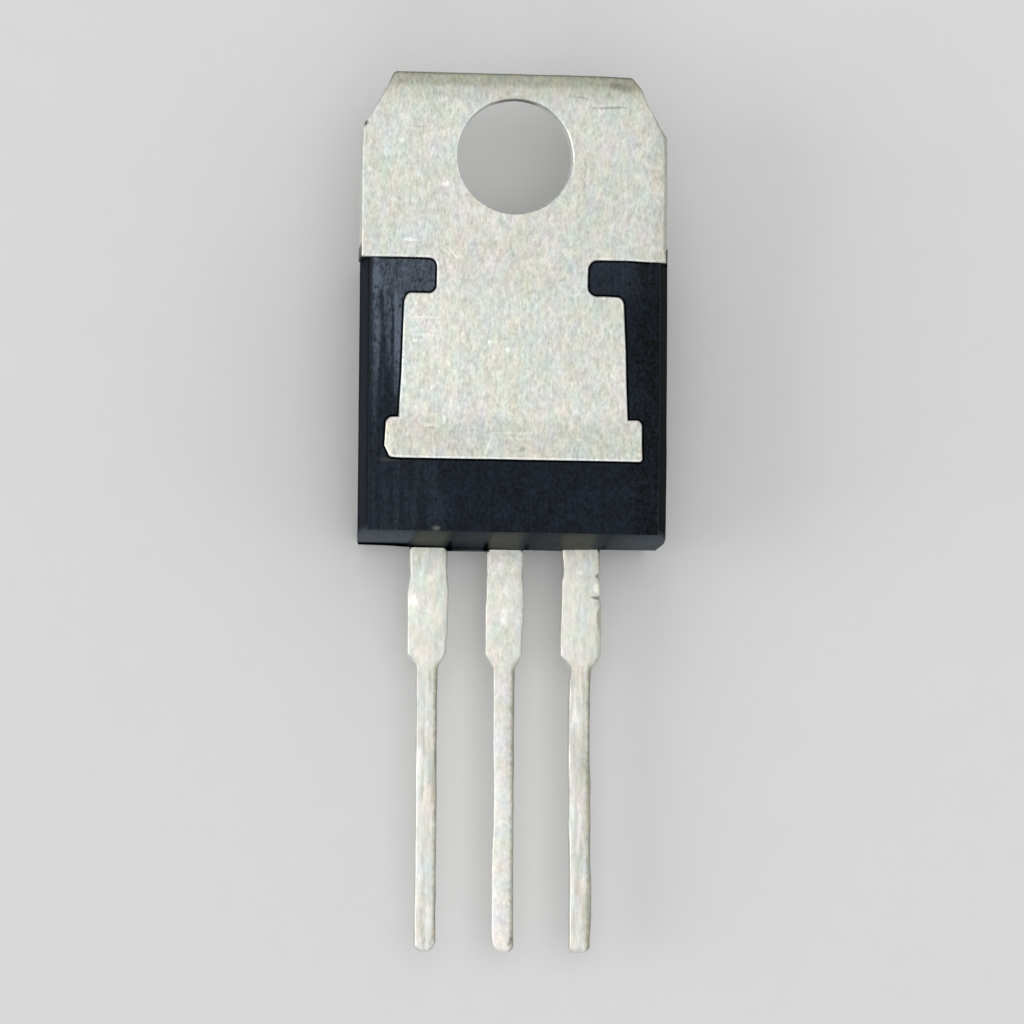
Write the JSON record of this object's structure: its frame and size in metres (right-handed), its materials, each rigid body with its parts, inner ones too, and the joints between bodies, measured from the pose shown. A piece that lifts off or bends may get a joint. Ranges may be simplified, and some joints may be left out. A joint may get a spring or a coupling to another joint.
{
  "type": "power transistor",
  "caption": "Power transistor: flat black moulded block on a plated metal heatsink tab with a screw hole and cut corners, and straight flat leads in line that step down to thin pins.",
  "frame": {"origin": "centre of the mounting hole, on the bare metal mounting face", "axes": "+Z out of the mounting face, +Y towards the tab's free end with the leads pointing to -Y, +X towards the base lead; the part lies on its moulded front, so the mounting face is on top"},
  "size_m": [0.0102, 0.0288, 0.0045],
  "materials": {
    "tinned_heatsink": "dull tin plating over copper",
    "tinned_lead": "dull tin plating over copper",
    "black_epoxy": "satin as moulded",
    "silicon": "polished",
    "solder": "dull",
    "aluminium_wire": "drawn"
  },
  "bodies": {
    "root": {"heatsink_tab": "tinned_heatsink", "base_lead": "tinned_lead", "emitter_lead": "tinned_lead", "moulded_body": "black_epoxy", "silicon_die": "silicon", "die_attach_solder": "solder", "base_bond_wire": "aluminium_wire", "emitter_bond_wire": "aluminium_wire"}
  },
  "joints": []
}
